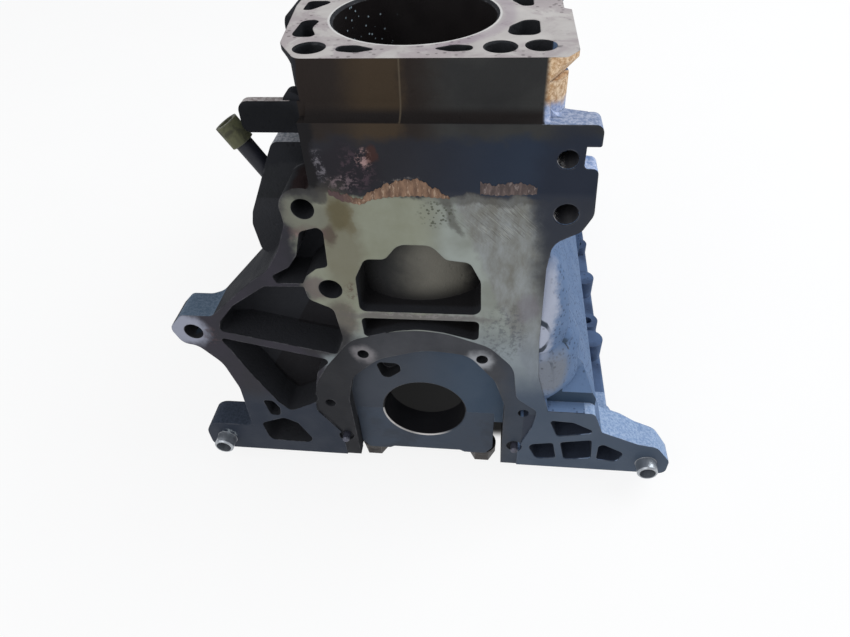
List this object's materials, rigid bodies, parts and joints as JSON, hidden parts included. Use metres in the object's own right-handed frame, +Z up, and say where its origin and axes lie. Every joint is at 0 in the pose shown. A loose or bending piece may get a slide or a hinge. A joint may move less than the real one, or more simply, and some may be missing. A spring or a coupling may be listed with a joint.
{
  "type": "engine block",
  "caption": "Cast iron inline engine block with flanged gearbox face, bored cylinder bank, crankcase skirt and bolted main bearing caps.",
  "frame": {"origin": "crankshaft axis in the plane of the gearbox face", "axes": "+X to the right seen from the gearbox end, +Y along the crankshaft away from the gearbox, +Z up to the deck"},
  "size_m": [0.3235, 0.3955, 0.2927],
  "materials": {
    "cast_block": "stained casting, machined faces",
    "bearing_cap": "machined, oiled",
    "bolt_steel": "dark phosphated",
    "plug_steel": "dull pressed steel",
    "dowel_steel": "bright turned steel",
    "tube_black": "black",
    "sleeve_zinc": "dull yellow zinc"
  },
  "bodies": {
    "root": {"cylinder_block": "cast_block", "main_bearing_cap_1": "bearing_cap", "main_bearing_cap_2": "bearing_cap", "main_bearing_cap_3": "bearing_cap", "main_bearing_cap_4": "bearing_cap", "main_bearing_cap_5": "bearing_cap", "cap_bolts_1": "bolt_steel", "cap_bolts_2": "bolt_steel", "cap_bolts_3": "bolt_steel", "cap_bolts_4": "bolt_steel", "cap_bolts_5": "bolt_steel", "core_plug_left_1": "plug_steel", "core_plug_left_2": "plug_steel", "core_plug_left_3": "plug_steel", "core_plug_right_1": "plug_steel", "core_plug_right_2": "plug_steel", "core_plug_right_3": "plug_steel", "oil_gallery_plug": "plug_steel", "gearbox_dowel_sleeve_left": "dowel_steel", "gearbox_dowel_sleeve_right": "dowel_steel", "seal_carrier_pin_left": "dowel_steel", "seal_carrier_pin_right": "dowel_steel", "breather_tube": "tube_black", "tube_end_sleeve": "sleeve_zinc"}
  },
  "joints": []
}
